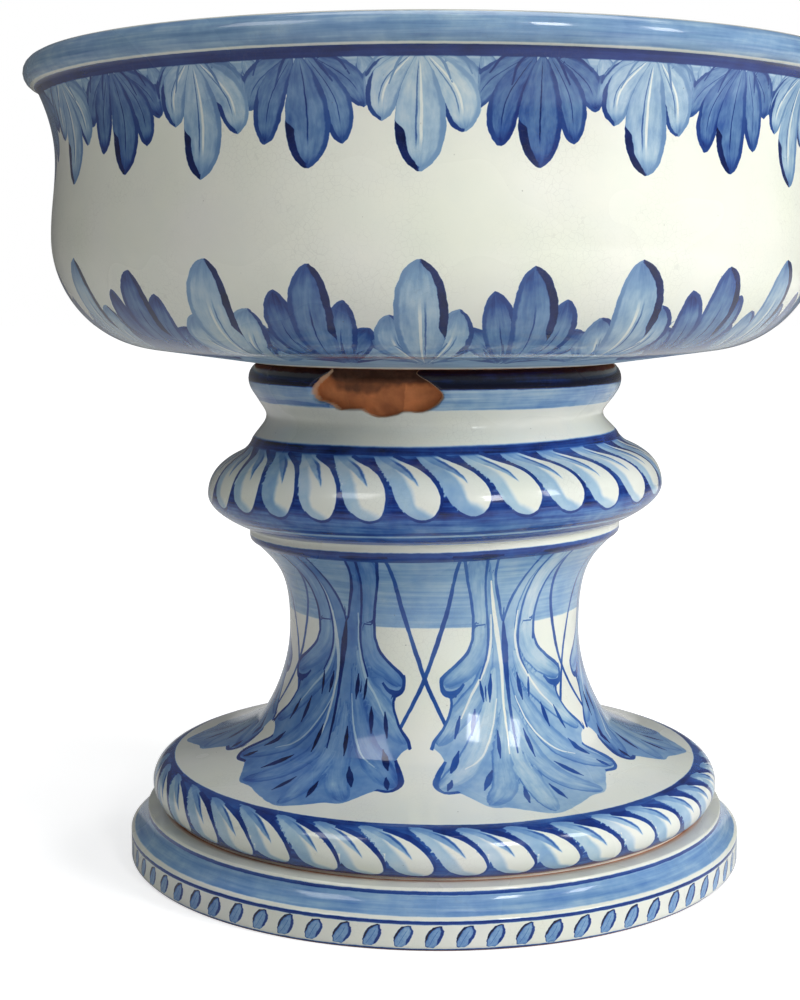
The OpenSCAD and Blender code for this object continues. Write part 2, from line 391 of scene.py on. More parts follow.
    # Depth inside the edge of a closed shape, and the side and share along it
    def within(self, spots, path):
        distance, side, walked = self.along(spots, path)
        return np.where(isWithin(spots, path), distance, -distance), side, walked

    # A filled shape: stores the distance inside its edge
    def patch(self, name, centre, marks, tone):
        stored = self.layer(name, (-12, 0, 0))
        path = self.unrolled(smoothPath(list(marks) + [marks[0]], 5))
        index, spots = self.near(centre, path, 12)
        values = self.within(spots, path)
        self.keep(name, index, values[0] > stored[index, 0], values, tone)

    # A petal between a left and a right edge that start at its foot: stored as a lobe is
    def petal(self, name, centre, left, right, tone):
        stored = self.layer(name, (-12, 0, 0))
        left, right = [self.unrolled(smoothPath(edge, 6)) for edge in (left, right)]
        path = np.vstack([left, right[::-1]])
        index, spots = self.near(centre, path, 8)
        depth = self.within(spots, path)[0]
        low, high = [np.interp(spots[:, 1], edge[:, 1], edge[:, 0]) for edge in (left, right)]
        across = np.clip((2 * spots[:, 0] - low - high) / np.maximum(high - low, 4), -2.5, 2.5)
        along = (spots[:, 1] - path[:, 1].min()) / np.ptp(path[:, 1])
        self.keep(name, index, depth > stored[index, 0], [depth, across, along], tone)

    # Moves points towards the axis by an amount in millimetres
    def drawIn(self, amount):
        self.points[:, :2] *= (1 - amount / np.maximum(self.radius, 1))[:, None]


def isWithin(spots, path):
    inside = np.zeros(len(spots), bool)
    for (x1, y1), (x2, y2) in zip(path[:-1], path[1:]):
        crosses = (y1 > spots[:, 1]) != (y2 > spots[:, 1])
        gap = (x2 - x1) * (spots[:, 1] - y1) / (y2 - y1 if y2 != y1 else 1e-9) + x1
        inside ^= crosses & (spots[:, 0] < gap)
    return inside


# Curve through given marks
def smoothPath(marks, perSpan):
    marks = np.array(marks, float)
    if len(marks) < 3:
        return np.array([marks[0] + (marks[1] - marks[0]) * i / 4 for i in range(5)])
    ends = np.vstack([2 * marks[0] - marks[1], marks, 2 * marks[-1] - marks[-2]])
    points = []
    for i in range(1, len(ends) - 2):
        before, start, end, after = ends[i - 1:i + 3]
        square = 2 * before - 5 * start + 4 * end - after
        cube = 3 * start - before - 3 * end + after
        for j in range(perSpan):
            t = j / perSpan
            points.append(0.5 * (2 * start + (end - before) * t + square * t ** 2 + cube * t ** 3))
    points.append(marks[-1])
    return np.array(points)


stage = {
    "floorSize": 30.0, "surround": 0.19, "mirroredSurround": -0.08,
    "glowNear": 0.62, "glowFar": 1.0, "nearEdge": 0.45, "farEdge": 1.7,
}


def makeStage():
    bpy.ops.mesh.primitive_plane_add(size=stage["floorSize"])
    floor = bpy.context.object
    floor.name = "floor"
    tree = Tree("floor")
    seen = tree.add("ShaderNodeLightPath", {}, {}, "Is Camera Ray")
    diffuse = tree.add("ShaderNodeBsdfDiffuse", {}, {"Color": opaque(222, 222, 221)})
    away = tree.add("ShaderNodeVectorMath", {"operation": "LENGTH"}, [tree.places()], "Value")
    reach = [stage[part] for part in ("nearEdge", "farEdge", "glowNear", "glowFar")]
    strength = seen * tree.spread(away, *reach)
    glow = tree.add("ShaderNodeEmission", {}, {"Color": opaque(255, 255, 255), "Strength": strength})
    both = tree.add("ShaderNodeAddShader", {}, [diffuse, glow])
    tree.add("ShaderNodeOutputMaterial", {}, [both])
    floor.data.materials.append(tree.material)

    # the surround counts as white for the camera, and is dimmer for light and for reflections
    world = Tree("studio", bpy.data.worlds.new("studio"))
    direct, through, mirrored = [world.add("ShaderNodeLightPath", {}, {}, "Is " + kind + " Ray")
                                 for kind in ("Camera", "Transmission", "Glossy")]
    seen = direct.maths("MAXIMUM", through)
    strength = seen.maths("MAXIMUM", mirrored * stage["mirroredSurround"] + stage["surround"])
    sky = world.add("ShaderNodeBackground", {}, {"Color": (1, 1, 1, 1), "Strength": strength})
    world.add("ShaderNodeOutputWorld", {}, [sky])
    bpy.context.scene.world = world.material


lamps = {
    # name: (place, size, power, aimed at, mirrored in the glaze)
    "softboxRight": ((2.0, -1.3, 1.1), (0.9, 1.5), 38, (0, 0, 0.30), False),
    "windowFront": ((1.05, -1.9, 1.45), (0.34, 0.62), 11, (0, 0, 0.32), True),
    "windowRight": ((1.9, -1.1, 1.45), (0.34, 0.62), 7, (0, 0, 0.32), True),
    "softboxLeft": ((-1.5, -1.4, 2.1), (0.9, 0.9), 11, (0, 0, 0.45), True),
    "overhead": ((0.2, 0.2, 2.3), (1.4, 1.4), 14, (0, 0, 0.40), True),
    "backRight": ((1.6, 1.7, 1.0), (0.8, 1.4), 14, (0, 0, 0.30), False),
}


def makeLamps():
    for name, (place, size, power, target, mirrored) in lamps.items():
        data = bpy.data.lights.new(name, "AREA")
        data.shape = "RECTANGLE"
        data.size, data.size_y = size
        data.energy = power
        lamp = bpy.data.objects.new(name, data)
        lamp.location = place
        aim = Vector(target) - Vector(place)
        lamp.rotation_euler = aim.to_track_quat("-Z", "Y").to_euler()
        lamp.visible_glossy = mirrored
        bpy.context.scene.collection.objects.link(lamp)


makeCamera()
makeStage()
makeLamps()
print("camera, stage and lamps made")


# Cobalt pigment on tin glaze, from bare ground to the thickest strokes; on the bowl it is greyer
def pigmentStops(*shades):
    places = (0, 0.14, 0.30, 0.45, 0.60, 0.74, 0.87, 1)
    return [(place, colour(*shade)) for place, shade in zip(places, shades)]


standPigment = pigmentStops((236, 236, 223), (208, 219, 224), (166, 194, 214), (122, 160, 200),
                            (82, 126, 184), (44, 87, 160), (20, 49, 124), (5, 9, 38))
bowlPigment = pigmentStops((236, 236, 223), (206, 216, 215), (166, 190, 207), (123, 156, 189),
                           (88, 122, 166), (48, 82, 144), (23, 46, 114), (7, 11, 44))
clay = {"dark": (104, 58, 38), "mid": (150, 88, 56), "light": (184, 120, 82)}


# Broken or bare clay: grit, pores and warm variation
def clayColour(tree):
    where = tree.places()
    broad = tree.noise(where, 60, 4, 0.6)
    grit = tree.noise(where, 900, 3, 0.6)
    base = tree.tint(tree.step(broad, 0.35, 0.66), opaque(*clay["mid"]), opaque(*clay["light"]))
    base = tree.tint(tree.step(grit, 0.56, 0.72) * 0.5, base, opaque(*clay["dark"]))
    return base, broad * 0.6 + grit * 0.4


glaze = {
    "crazeSize": 260, "crazeWander": 0.0016, "crazeStain": 0.10,
    "specular": 0.24, "coat": 0.7, "dullCoat": 0.05, "coatRough": 0.07,
    "rough": (0.20, 0.32), "dullRough": 0.5, "clayRough": 0.86,
}


# The glazed, painted finish shared by the three big pieces.
# pigment is 0 to 1, bare is the mask of unglazed clay, dull the mask of thin glaze without gloss
def glazed(tree, pigment, bare, stops, clayTint=None, dull=0):
    g = glaze
    where = tree.places()
    cloud = tree.noise(where, 9, 1.5, 0.45)
    fine = tree.noise(where, 160, 4, 0.6)
    # pooled cobalt leans to violet where thick, to green-grey where the wash is thin
    lean = tree.spread(tree.noise(where, 16, 1, 0.4), 0.1, 0.9, 0, 1)
    warm = tree.tint(lean, opaque(247, 250, 244), opaque(252, 250, 255))
    paint = tree.tint(1.0, tree.ramp(pigment, stops), warm, "MULTIPLY")
    mottle = tree.spread(cloud, 0.1, 0.9, 0.93, 1.01)
    greyed = tree.join(mottle, mottle, tree.spread(cloud, 0.1, 0.9, 0.92, 1.01))
    paint = tree.tint(1.0, paint, greyed, "MULTIPLY")
    # crazing, stained a little
    bend = tree.add("ShaderNodeTexNoise", {}, {"Vector": where, "Scale": 240.0}, "Color")
    wander = tree.vectors("ADD", where, tree.vectors("MULTIPLY", bend, (g["crazeWander"],) * 3))
    edge = tree.cells(wander, g["crazeSize"], "DISTANCE_TO_EDGE", "Distance")
    patchy = tree.step(tree.noise(where, 22, 2, 0.5), 0.42, 0.64)
    craze = tree.step(edge, 0.045, 0.012) * patchy
    paint = tree.tint(craze * g["crazeStain"], paint, opaque(96, 92, 96))
    # pinholes and dust burnt into the glaze
    specks = tree.cells(where, 90, "F1", "Distance")
    dots = tree.step(specks, 0.05, 0.035) * tree.step(fine, 0.5, 0.6)
    paint = tree.tint(dots * 0.55, paint, opaque(88, 84, 84))
    clayPaint, clayHeight = clayColour(tree)
    if clayTint:
        clayPaint = clayTint(clayPaint)
    ripple = tree.noise(where, 34, 2, 0.5) * 1.6 + fine * 0.05 - craze * 0.06 - dots * 0.5
    height = tree.blend(bare, ripple, clayHeight * 1.4 - 1.2)
    rough = tree.blend(dull, tree.spread(cloud, 0.1, 0.9, *g["rough"]), g["dullRough"])
    return tree.finish({
        "Base Color": tree.tint(bare, paint, clayPaint),
        "Roughness": tree.blend(bare, rough, g["clayRough"]),
        "IOR": 1.5,
        "Specular IOR Level": g["specular"],
        "Coat Weight": (1 - bare) * tree.blend(dull, g["coat"], g["dullCoat"]),
        "Coat Roughness": g["coatRough"],
        "Coat IOR": 1.5,
        "Normal": tree.bump(height, 0.35, 0.0006),
    })


# Ragged brush edges and uneven strokes share these two noises
def brush(tree):
    if "brush" not in tree.fields:
        where = tree.places()
        wobble = tree.noise(where, 150, 3, 0.55) - 0.5
        blot = tree.noise(where, 48, 3, 0.6)
        tree.fields["brush"] = (wobble, blot)
    return tree.fields["brush"]


# Paints one layer of leaf lobes over the pigment so far
def paintLobes(tree, pigment, name, edges, veins=0.0, reach=(0.18, 0.5), cap=0.16, rounding=0.08):
    inside, across, along = tree.field(name)
    tone = tree.number(name + "Tone")
    kind = tree.step(tone, 0.99, 1.01)
    wobble, blot = brush(tree)
    ragged = inside + wobble * 2.2
    mask = tree.step(ragged, -0.2, 0.3)
    streak = tree.noise(tree.join(across * 1.7, along * 2.6, tone * 41), 1.9, 3, 0.6) - 0.5
    plain = tone - kind
    body = plain + streak * 0.34 + (blot - 0.5) * 0.34 + tree.step(along, 0.80, 1.0) * cap
    body = body + (across * across - 0.35) * rounding
    left, right, leftExtra, rightTone = edges
    side = tree.step(across, -0.05, 0.4)
    width = tree.blend(side, left * tree.step(along, 0.1, 0.3), right * tree.step(along, *reach))
    edge = tree.step(ragged - width * (blot * 0.7 + 0.65), tree.blend(side, 1.3, 0.45), -0.25)
    body = tree.blend(edge, body, tree.blend(side, plain + leftExtra, rightTone) + (blot - 0.5) * 0.2)
    if veins:
        middle = abs(across + wobble * 0.10)
        length = tree.step(along, 0.05, 0.14) * tree.step(along, 0.84, 0.70)
        dark = tree.step(middle, 0.055, 0.02) * length * (1 - kind)
        body = body + dark * veins
        beside = tree.step(abs(across - 0.17 + wobble * 0.10), 0.055, 0.02) * length * kind
        body = body + beside * veins * 1.3
        scratch = tree.step(abs(across + 0.03 + wobble * 0.06), 0.075, 0.045) * length * kind
        body = tree.blend(scratch * 0.9, body, 0.06)
    return tree.blend(mask, pigment, body)


# Paints layers of strokes; a tone near 0 is a scratch down to the white glaze
def paintStrokes(tree, pigment, *names):
    wobble, blot = brush(tree)
    for name in names:
        side, distance, half = tree.field(name)
        ragged = abs(side + wobble * 0.9) - half * (blot * 0.7 + 0.65)
        mask = tree.step(ragged, 0.30, -0.20) * tree.step(distance - half, 1.5, 1.05)
        pigment = tree.blend(mask, pigment, tree.number(name + "Tone") + (blot - 0.5) * 0.26)
    return pigment


# Paints bands one over another. Each runs between two heights of the outline, in millimetres, with
# its tone, how soft its edges are and how uneven it is.
def paintBands(tree, pigment, bands):
    wobble, blot = brush(tree)
    where = tree.places()
    drift = tree.noise(where, 14, 2, 0.5) - 0.5
    streak = tree.noise(tree.vectors("MULTIPLY", where, (14, 14, 420)), 1.0, 3, 0.6) - 0.5
    for low, high, tone, soft, uneven in bands:
        level = tree.number("rise") + drift * uneven * 3 + wobble * 0.8
        mask = tree.step(level, low - soft, low + soft) * tree.step(level, high + soft, high - soft)
        body = tone + streak * 0.7 * uneven + (blot - 0.5) * 0.5 * uneven
        pigment = tree.blend(mask, pigment, body)
    return pigment


vase = {
    "seatZ": 370.5, "seatRadius": 134, "rimZ": 585.5,
    "wallRadius": 280, "cornerRadius": 79, "underAngle": 8,
    "waistIn": 4, "waistShare": 0.45, "rimFlare": 8, "rimRoll": 10, "rimStart": -75,
    "waistEnds": [[90, 0.36], [90, 0.36]], "flareEnds": [[90, 0.39], [65, 0.27]],
    "wall": 12, "floor": 14,
    "ringOuter": 110, "ringInner": 99, "ringDepth": 15, "ringRound": 1.5,
    "columns": 664, "fineStep": 2.25, "upperStep": 3.0, "coarseStep": 15,
    "outOfRound": 0.5, "rimDip": 0.4, "trueBelow": 400,
    "washes": [(17, 100, 0.40, 2.5, 0.5), (276, 293, 0.42, 2.5, 0.5)],
    "lines": [(293, 301, 0.88, 0.5, 0.3), (304, 325, 0.46, 0.8, 0.6), (338, 341, 0.80, 0.5, 0.3)],
}


def vaseOutline():
    v = vase
    slope = math.radians(v["underAngle"])
    cornerR = v["wallRadius"] - v["cornerRadius"]
    under = cornerR + v["cornerRadius"] * math.sin(slope) - v["seatRadius"]
    cornerZ = v["seatZ"] + under * math.tan(slope) + v["cornerRadius"] * math.cos(slope)
    waist = (v["wallRadius"] - v["waistIn"], cornerZ + v["waistShare"] * (v["rimZ"] - cornerZ))
    wallTop = (v["wallRadius"] + v["rimFlare"], v["rimZ"] - 2 * v["rimRoll"])

    def side(cornerStep, wallStep):
        corner = arc((cornerR, cornerZ), v["cornerRadius"], v["underAngle"] - 90, 0, cornerStep)
        return (corner + sweep(corner[-1], waist, v["waistEnds"], wallStep)
                + sweep(waist, wallTop, v["flareEnds"], wallStep))

    outer = side(v["fineStep"], v["upperStep"])
    seat, low, soft = v["seatZ"], v["seatZ"] - v["ringDepth"], v["ringRound"]
    inner = inset([(v["seatRadius"], seat)] + side(v["coarseStep"], v["coarseStep"]), v["wall"])
    rimCentre = (inner[-1][0] + v["rimRoll"], v["rimZ"] - v["rimRoll"])
    rim = arc(rimCentre, v["rimRoll"], v["rimStart"], 180, 3.2)
    ring = [(v["ringInner"], seat), (v["ringInner"], low + soft), (v["ringInner"] + soft, low),
            (v["ringOuter"] - soft, low), (v["ringOuter"], low + soft), (v["ringOuter"], seat)]
    inner = [point for point in reversed(inner) if point[1] < rimCentre[1] - 2]
    return withoutDoubles(straight((0, seat), ring[0], 33) + ring + [(v["seatRadius"] - 12, seat)]
                          + straight((v["seatRadius"], seat), outer[0], 7) + outer + rim + inner
                          + straight(inner[-1], (0, seat + v["floor"]), 33))


leaves = {
    "count": 24, "first": -1.8, "crowding": 2.0, "lean": 3.5,
    "foot": 86, "root": 34, "belly": 0.75,
    "upperFoot": 296, "upperRoot": 86, "upperBelly": 0.60, "upperScale": 0.80,
    "fiveTone": 0.63, "threeTone": 0.37, "point": 0.58,
    # the lower leaves narrow at this share of the way to the tip, this far below their foot
    "waistShare": 0.38, "waistDrop": 4,
    # darker lobes behind, between two leaves: turn, rise, half-width
    "backs": [(-2.2, 112, 9), (1.8, 115, 8)],
    "backRoot": 70, "backTone": 0.42, "backEdges": (0.8, 1.2, 0.16, 0.70), "backCap": 0.22,
    # how the lobes are painted: edges, veins, reach of the dark edge, added tone at the tip
    "layers": [("Low", (1.6, 2.6, 0.14, 0.80), 0.20, (0.3, 0.6), 0.26),
               ("Side", (2.2, 3.3, 0.16, 0.82), 0.24, (0.46, 0.66), 0.26),
               ("Main", (2.8, 5.2, 0.17, 0.94), 0.26, (0.57, 0.67), 0.20)],
    # strokes between the lobes, and arcs where the leaves spring: marks, half-widths, added tone
    "veins": [([(1.4, 70), (2.6, 94), (3.6, 108)], (0.4, 0.9, 0.4), 0.20),
              ([(2.8, 68), (4.9, 90), (6.2, 101)], (0.4, 0.9, 0.4), 0.20),
              ([(1.4, 50), (4.4, 62), (7.4, 71)], (1.2, 4.0, 1.2), 0.24)],
    # lobes: layer, turn at the root, tip, bend, half-width, 1 where the vein is scratched, added tone
    "fiveLobes": [("Low", -0.9, (-8.2, 128), -1.5, 10, 0, -0.02),
                  ("Low", 0.9, (7.6, 126), 1.5, 10, 0, 0),
                  ("Side", -0.6, (-5.2, 154), -1.3, 10.5, 0, 0.03),
                  ("Side", 0.6, (4.6, 151), 1.3, 10.5, 0, -0.02),
                  ("Main", 0, (0, 171), 0.2, 15, 0, 0)],
    "threeLobes": [("Low", -1.2, (-6.4, 122), -1.2, 9, 0, 0.05),
                   ("Low", 1.2, (6.8, 121), 1.2, 9, 0, 0.08),
                   ("Side", -0.5, (-4.5, 137), -1.6, 11.5, 1, -0.02),
                   ("Side", 0.5, (5.2, 143), 1.5, 13, 1, -0.04),
                   ("Main", 0, (0, 175), 0.1, 16.6, 1, -0.02)],
}


# Broad five-lobed leaves and narrower veined ones take turns round the bowl
def leafBorder(surface, prefix, foot, scale, dice):
    g = leaves
    lower = scale > 0
    root, belly = (g["root"], g["belly"]) if lower else (g["upperRoot"], g["upperBelly"])
    size = (abs(scale) + 1) / 2

    def mark(turn, rise):
        return turn, foot + (rise - g["foot"]) * scale

    for i in range(g["count"]):
        angle = i * 360 / g["count"]
        centre = g["first"] + angle - g["crowding"] * math.sin(math.radians(angle))
        lean = g["lean"] * math.sin(math.radians(2 * centre)) * lower
        kind = "five" if i % 2 else "three"
        leafTone = g[kind + "Tone"] + dice.uniform(-0.05, 0.05)
        for layer, turn, tip, bend, halfWidth, scratched, shade in g[kind + "Lobes"]:
            turn = turn + lean
            tip = (tip[0] + dice.uniform(-0.4, 0.4), tip[1] + dice.uniform(-2.5, 2.5))
            middle = mark((turn + tip[0]) / 2 + bend, (g["foot"] + tip[1]) / 2)
            marks = [mark(turn, root), middle, mark(*tip)]
            if lower:
                waist = turn + (tip[0] - turn) * g["waistShare"]
                marks.insert(1, mark(waist, g["foot"] - g["waistDrop"]))
            width = halfWidth * size * dice.uniform(0.94, 1.06)
            tone = scratched + leafTone + shade
            surface.lobe(prefix + layer, centre, marks, width, belly, g["point"], tone)
        for shift, rise, width in g["backs"]:
            turn = 180 / g["count"] + shift
            marks = [mark(turn * 0.8 + lean, max(g["backRoot"], root)), mark(turn, rise)]
            surface.lobe(prefix + "Back", centre, marks, width * size, 0.6, 0.5, g["backTone"])
        for marks, widths, extra in g["veins"][:3 if lower else 2]:
            for side in (-1, 1):
                drawn = [mark(side * turn + lean * 0.5 + dice.uniform(-0.3, 0.3),
                              max(rise, root) + dice.uniform(-2, 2)) for turn, rise in marks]
                surface.stroke(prefix + "Vein", centre, drawn, widths, leafTone + extra)


# The mirrored border below the rim and the bands are a usual scheme for such bowls
def vaseFinish():
    tree = Tree("vaseGlaze")
    rise = tree.number("rise")
    wobble, blot = brush(tree)
    pigment = paintBands(tree, blot * 0.04, vase["washes"])
    for prefix in ("lower", "upper"):
        pigment = paintLobes(tree, pigment, prefix + "Back", leaves["backEdges"], cap=leaves["backCap"])
        for layer, edges, veins, reach, cap in leaves["layers"]:
            pigment = paintLobes(tree, pigment, prefix + layer, edges, veins, reach, cap)
        pigment = paintStrokes(tree, pigment, prefix + "Vein")
    pigment = paintBands(tree, pigment, vase["lines"])
    bare = tree.step(rise + wobble * 6, 6, 3)
    return glazed(tree, pigment, bare, bowlPigment, dull=tree.step(rise, 86, 66))


def makeVase():
    outline = vaseOutline()
    piece = turned("vase_bowl", outline, vase["columns"])
    surface = Surface(piece, outline, (vase["seatRadius"], vase["seatZ"]))
    rimRise = surface.rise[np.argmax(surface.points[:, 2])]
    surface.painted = (surface.rise > 0) & (surface.rise < rimRise)
    dice = np.random.default_rng(7)
    leafBorder(surface, "lower", leaves["foot"], 1.0, dice)
    leafBorder(surface, "upper", leaves["upperFoot"], -leaves["upperScale"], dice)
    surface.layers["rise"] = surface.rise
    # a hand-thrown bowl is a little out of round, always inside its drawn size
    turn = np.radians(surface.azimuth)
    low = vase["trueBelow"]
    height = np.clip((surface.points[:, 2] - low) / (vase["rimZ"] - low), 0, 1)
    surface.drawIn(vase["outOfRound"] * height * (1 + np.sin(2 * turn + 0.7)))
    surface.points[:, 2] -= vase["rimDip"] * height ** 3 * (1.2 + np.sin(3 * turn))
    surface.store()
    piece.data.materials.append(vaseFinish())
    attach(piece, "vase")
    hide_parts("vase")
    print("vase painted")


makeVase()


stemLow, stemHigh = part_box("stand_stem")

stem = {
    "jointZ": stemLow.z / mm, "seatZ": stemHigh.z / mm,
    "rollCentre": (196, 56), "rollRadius": 18, "rollTop": 73, "footRing": 12,
    "crease": (134.5, 97.5), "neck": (109.8, 172), "neckRise": 61.5, "flareTop": (134, 238.5),
    "band": (139.5, 244.5), "torusFoot": (140.5, 251.5), "torusSide": (170.5, 277),
    "torusTop": (140, 309.5), "hollow": (126.5, 332), "rollFoot": (136.5, 349),
    "rollSide": (139.5, 358.5), "seat": (130, 370.5),
    "mouthRadius": 112, "mouthLow": 318.5, "wall": 13, "webLow": 224.5, "webTop": 238.5, "rodHole": 9,
    # directions and shares of the two ends of the sweep that leads up to each point
    "sweeps": {"crease": [[163, 0.13], [147, 0.47]], "neck": [[128, 0.18], [90, 0.44]],
               "flareTop": [[90, 0.58], [44, 0.32]], "band": [[44, 0.4], [90, 0.4]],
               "torusSide": [[25, 0.10], [90, 0.34]], "torusTop": [[90, 0.53], [151, 0.12]],
               "hollow": [[97, 0.37], [90, 0.25]], "rollFoot": [[90, 0.20], [57, 0.71]],
               "rollSide": [[57, 0.4], [90, 0.3]], "seat": [[90, 0.46], [180, 0.29]]},
    "columns": 392, "fineStep": 2.5, "coarseStep": 18, "creaseSoft": 6.5,
    "tilt": 0.026, "tiltWindow": (170, 225, 310, 345), "outOfRound": 0.35, "paintedFrom": -131,
    "footWash": [(78, 139, 0.40, 0.6, 0.5)],
    "neckBands": [(136, 145.5, 0.82, 0.5, 0.4), (153.5, 243, 0.66, 0.5, 1.0),
                  (190, 243, 0.85, 4.0, 0.7), (155, 168, 0.80, 1.0, 0.7),
                  (169, 171.5, 0.34, 0.6, 0.3), (172, 176, 0.86, 0.8, 0.6),
                  (-131, -86, 0.80, 0.5, 0.7)],
    "collarBands": [(243, 250, 0.90, 1.2, 0.6), (279, 297, 0.42, 0.7, 0.7)],
    "topBand": [(295, 314.5, 1.0, 0.6, 0.4)],
    # darker strokes along the foot of the collar's wash: azimuth, then (degrees, rise)
    "collarLines": [(-55, [(-28, 282.5), (-8, 281), (6, 282), (21, 281)]),
                    (120, [(-30, 281), (0, 282.5), (34, 281)])],
    "collarLineWidths": (0.8, 2.0, 1.9, 1.2),
}


def stemOutline():
    s = stem
    start = -math.degrees(math.asin((s["rollCentre"][1] - s["jointZ"]) / s["rollRadius"]))
    edge = arc(s["rollCentre"], s["rollRadius"], start, s["rollTop"], s["fineStep"])

    def through(step, first, *names):
        path = [first]
        for name in names:
            path = path + sweep(path[-1], s[name], s["sweeps"][name], step)
        return path[1:]

    # the glaze fills the crease at this corner
    def softened(path, corner, reach):
        corner = np.array(corner)
        near = [i for i, point in enumerate(path) if np.linalg.norm(point - corner) < reach]
        before, after = path[near[0] - 1], path[near[-1] + 1]
        curve = [(1 - t) ** 2 * before + 2 * t * (1 - t) * corner + t * t * after
                 for t in (0.15, 0.32, 0.5, 0.68, 0.85)]
        return path[:near[0]] + curve + path[near[-1] + 1:]

    fine, coarse = s["fineStep"], s["coarseStep"]
    moulding = through(fine, s["torusFoot"], "torusSide", "torusTop", "hollow")
    outer = (edge + through(fine, edge[-1], "crease", "neck", "flareTop", "band")
             + straight(s["band"], (s["band"][0], s["torusFoot"][1]), fine)
             + softened(moulding, s["torusTop"], s["creaseSoft"])
             + through(fine, s["hollow"], "rollFoot", "rollSide", "seat"))
    ringIn = edge[0][0] - s["footRing"]
    inner = (inset(through(coarse, edge[-1], "crease", "neck", "flareTop"), s["wall"])
             + inset(through(coarse, s["torusFoot"], "torusSide", "torusTop"), s["wall"]))
    inner = np.array([(ringIn, s["jointZ"])] + [point for point in inner if point[0] < ringIn])

    # the inside from one height down to another
    def down(high, low):
        ends = [(np.interp(z, inner[:, 1], inner[:, 0]), z) for z in (high, low)]
        return [ends[0]] + [point for point in inner[::-1] if low + 1 < point[1] < high - 1] + [ends[1]]

    well = down(s["mouthLow"] - 6, s["webTop"])
    cavity = down(s["webLow"], s["jointZ"])
    seat = straight((s["seat"][0] - 1, s["seatZ"]), (s["mouthRadius"] + 1.5, s["seatZ"]), 5)
    mouth = straight((s["mouthRadius"], s["seatZ"] - 1.5), (s["mouthRadius"], s["mouthLow"]), 9)
    web = (straight(well[-1], (s["rodHole"], s["webTop"]), 20)
           + straight((s["rodHole"], s["webLow"]), cavity[0], 20))
    return withoutDoubles(outer + seat + mouth + well + web + cavity)


